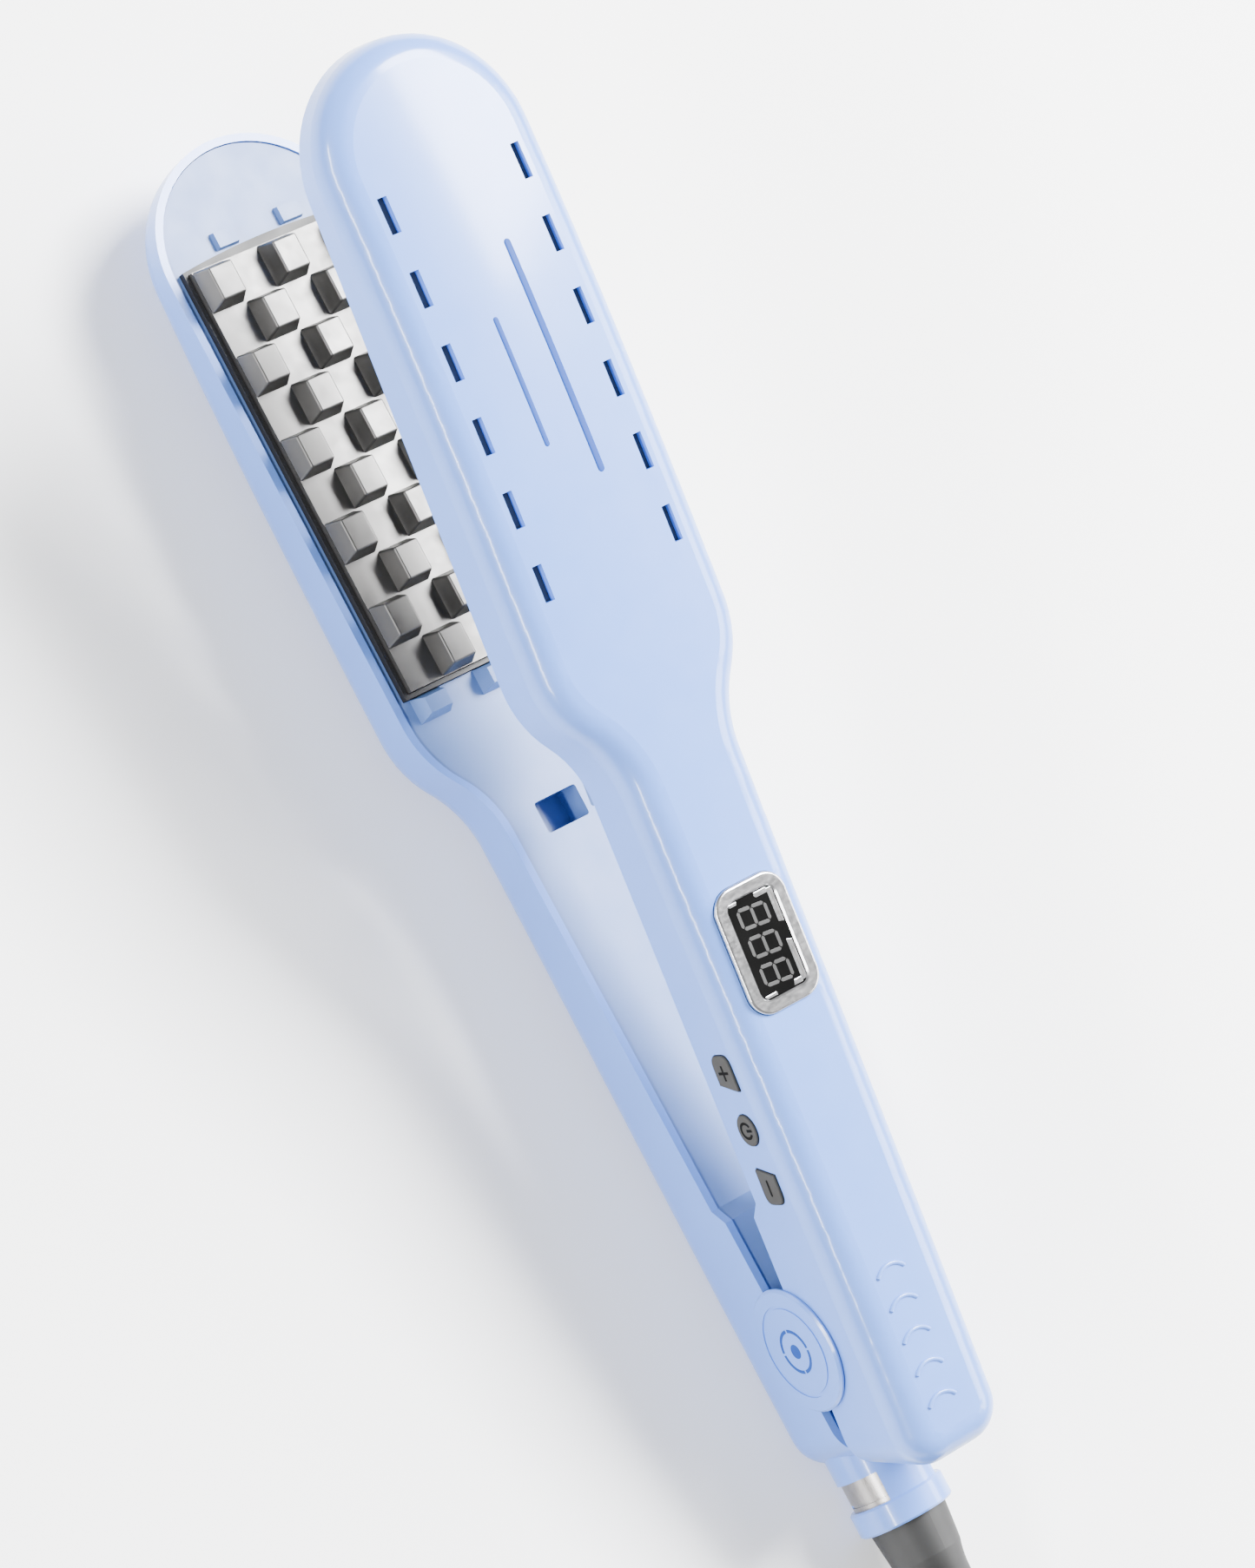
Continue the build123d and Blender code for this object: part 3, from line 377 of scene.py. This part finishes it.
def add_head_bars():
    """Two slim accent bars laid on the head's crowned face."""
    tree = shell_tree()
    mesh = bpy.data.meshes.new("head_bars")
    shape = bmesh.new()
    for x0, x1, y, width in HEAD_BARS_MM:
        rows = []
        for i in range(BAR_STEPS + 1):
            x = x0 + (x1 - x0) * (1 - math.cos(math.pi * i / BAR_STEPS)) / 2
            end = min(x - x0, x1 - x)
            half = width / 2 if end >= width / 2 else math.sqrt(max(end * (width - end), 0.0004))
            row = []
            for share in (-1.0, -0.5, 0.0, 0.5, 1.0):
                above = upper_point(x, y + share * half, ABOVE_ARM_MM)
                hit, normal, _, _ = tree.ray_cast(above, -ARM_Z)
                lift = BAR_LIFT_MM if abs(share) < 1 else 0.0
                row.append(shape.verts.new(hit + normal * lift * MM))
            rows.append(row)
        for row, after in zip(rows, rows[1:]):
            for k in range(4):
                shape.faces.new((row[k], after[k], after[k + 1], row[k + 1]))
    bmesh.ops.recalc_face_normals(shape, faces=shape.faces)
    shape.to_mesh(mesh)
    shape.free()
    piece = link("head_bars", mesh, "accent", "upper_arm")
    body = piece.modifiers.new("body", "SOLIDIFY")
    body.thickness = BAR_THICK_MM * MM
    body.offset = -1.0
    for face in mesh.polygons:
        face.use_smooth = True


# Dark sheets under the head's slots; their colour paints the shade inside the slots.
SLOT_COUNT = 6
SLOT_FIRST_MM = 227.1
SLOT_PITCH_MM = -14.35
SLOT_Y_MM = 15.3
SHADE_SHEET_HALF_MM = (4.3, 1.8)
SHADE_SHEET_DEPTH_MM = 1.7      # from the outside of the head
SHADE_SHEET_THICK_MM = 0.3


def add_slot_painted_shade_sheets():
    """Slate-coloured sheets behind the head's slots, at the inner side of the wall: their dark colour is painted shade
    inside the slots.
    """
    tree = shell_tree()
    mesh = bpy.data.meshes.new("slot_painted_shade_sheets")
    shape = bmesh.new()
    for i in range(SLOT_COUNT):
        for side in (-1, 1):
            corners = []
            for u, v in ((-1, -1), (1, -1), (1, 1), (-1, 1)):
                x = SLOT_FIRST_MM + i * SLOT_PITCH_MM + u * SHADE_SHEET_HALF_MM[0]
                above = upper_point(x, side * (SLOT_Y_MM + v * SHADE_SHEET_HALF_MM[1]), ABOVE_ARM_MM)
                hit, _, _, _ = tree.ray_cast(above, -ARM_Z)
                corners.append(shape.verts.new(hit - ARM_Z * SHADE_SHEET_DEPTH_MM * MM))
            shape.faces.new(corners)
    bmesh.ops.recalc_face_normals(shape, faces=shape.faces)
    shape.to_mesh(mesh)
    shape.free()
    # The sheets carry painted shade for the slot interiors.
    piece = link("slot_painted_shade_sheets", mesh, "slot_shade", "upper_arm")
    body = piece.modifiers.new("body", "SOLIDIFY")
    body.thickness = SHADE_SHEET_THICK_MM * MM
    body.offset = 0.0


# ---------------------------------------------------------------- cord
CORD_D_MM = 6.5
BOOT_END_MM = (-59.9, -5.35, -16.9)
LEAD_MM = [(-65.0, -10.9, -19.1), (-74.5, -17.5, -20.15), (-84.5, -22.0, -20.15), (-93.0, -24.0, -20.15)]
TAIL_MM = [(-194.6, 16.0, -6.2), (-184.5, 23.2, -4.4), (-172.5, 22.8, -1.4), (-161.0, 16.4, 1.6),
           (-150.0, 9.6, 3.4), (-138.0, 7.5, 3.7)]
HANK_CENTRE_MM = (-138.0, 2.5)
HANK_LOOPS_MM = 38.0       # from the middle of the hank to the centre of each end loop
HANK_INNER_R_MM = 21.0
# The turns in order, as (column from the inside, layer from the floor), and where each one moves
# over to the next place, as a share of its turn.
HANK_TURNS = ((1, 0), (0, 0), (0, 1), (1, 1), (1, 2), (0, 2))
HANK_MOVES = (0.74, 0.66, 0.58, 0.50, 0.44, 2.0)
HANK_MOVE = 0.1
LOOP_POINTS = 7
LOOP_STEP = 36.0
WAIST_X_MM = 9.0
TURN_POINTS = 2 * LOOP_POINTS + 4
LAST_TURN_POINTS = 7       # the last turn leaves the far loop for the plug


def turn_place(k, column):
    """Control point k of a turn round the hank: waist, far loop, waist, near loop."""
    radius = (HANK_INNER_R_MM + column * CORD_D_MM) / math.cos(math.radians(LOOP_STEP / 2))
    waist = (column + 0.5) * CORD_D_MM
    widest = LOOP_STEP * (LOOP_POINTS - 1) / 2
    if k in (1, 2):
        return (WAIST_X_MM if k == 1 else -WAIST_X_MM), -waist
    if k in (3 + LOOP_POINTS, 4 + LOOP_POINTS):
        return (-WAIST_X_MM if k == 3 + LOOP_POINTS else WAIST_X_MM), waist
    if 3 <= k < 3 + LOOP_POINTS:
        angle = math.radians(180 + widest - LOOP_STEP * (k - 3))
        return -HANK_LOOPS_MM + radius * math.cos(angle), radius * math.sin(angle)
    angle = math.radians(-widest if k == 0 else widest - LOOP_STEP * (k - 5 - LOOP_POINTS))
    return HANK_LOOPS_MM + radius * math.cos(angle), radius * math.sin(angle)


def hank_points():
    points = []
    count = (len(HANK_TURNS) - 1) * TURN_POINTS + LAST_TURN_POINTS
    for i in range(count):
        turn, k = divmod(i, TURN_POINTS)
        share = min(1.0, max(0.0, (k / TURN_POINTS - HANK_MOVES[turn]) / HANK_MOVE))
        here, after = HANK_TURNS[turn], HANK_TURNS[min(turn + 1, len(HANK_TURNS) - 1)]
        x, y = turn_place(k, here[0] + (after[0] - here[0]) * share)
        layer = here[1] + (after[1] - here[1]) * share
        points.append((HANK_CENTRE_MM[0] + x, HANK_CENTRE_MM[1] + y, LEAD_MM[-1][2] + CORD_D_MM * layer))
    return points


def make_cord():
    data = bpy.data.curves.new("mains_cord", "CURVE")
    data.dimensions = "3D"
    data.bevel_depth = CORD_D_MM / 2 * MM
    data.bevel_resolution = 6
    data.resolution_u = 8
    data.use_fill_caps = True
    spline = data.splines.new("NURBS")
    points = [BOOT_END_MM] + LEAD_MM + hank_points() + TAIL_MM
    spline.points.add(len(points) - 1)
    for point, place in zip(spline.points, points):
        point.co = (*lower_point(*place), 1.0)
    spline.order_u = 3
    spline.use_endpoint_u = True
    cord = link("mains_cord", data, "cord_rubber", "cord_end")
    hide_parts("cord_lead", "cord_hank", "cord_tail")


# ---------------------------------------------------------------- light and floor
FLOOR_HALF = 3.0           # metres
FLOOR_GAP = 0.0002


def make_stage():
    mesh = bpy.data.meshes.new("floor")
    half = FLOOR_HALF
    mesh.from_pydata([(-half, -half, 0), (half, -half, 0), (half, half, 0), (-half, half, 0)], [], [(0, 1, 2, 3)])
    floor = bpy.data.objects.new("floor", mesh)
    bpy.context.scene.collection.objects.link(floor)
    floor.location.z = -FLOOR_GAP
    material, tree, shader = new_material("floor_white")
    shader.inputs["Base Color"].default_value = (0.93, 0.93, 0.93, 1)
    shader.inputs["Roughness"].default_value = 0.9
    mesh.materials.append(material)


def area_light(name, place, target, size, power):
    data = bpy.data.lights.new(name, "AREA")
    data.shape = "RECTANGLE"
    data.size, data.size_y = size
    data.energy = power
    light = bpy.data.objects.new(name, data)
    bpy.context.scene.collection.objects.link(light)
    aim = (Vector(target) - Vector(place)).to_track_quat("-Z", "Y").to_matrix().to_4x4()
    light.matrix_world = Matrix.Translation(Vector(place)) @ aim


def make_light():
    world = bpy.data.worlds.new("world")
    world.use_nodes = True
    world.node_tree.nodes["Background"].inputs["Color"].default_value = (1, 1, 1, 1)
    world.node_tree.nodes["Background"].inputs["Strength"].default_value = 0.55
    bpy.context.scene.world = world
    area_light("key", (0.15, 1.5, 0.85), (0, 0, 0.03), (1.8, 0.1), 60)
    area_light("top", (0.35, -1.0, 1.35), (0, 0, 0.03), (0.9, 0.6), 170)
    area_light("fill", (-0.45, -1.5, 0.9), (0, 0, 0.03), (1.4, 0.5), 55)


make_camera()
make_stage()
make_light()
dress_cad_nodes()
make_cord()
add_display()
add_key_symbols()
add_cap_emblem()
add_head_bars()
add_slot_painted_shade_sheets()
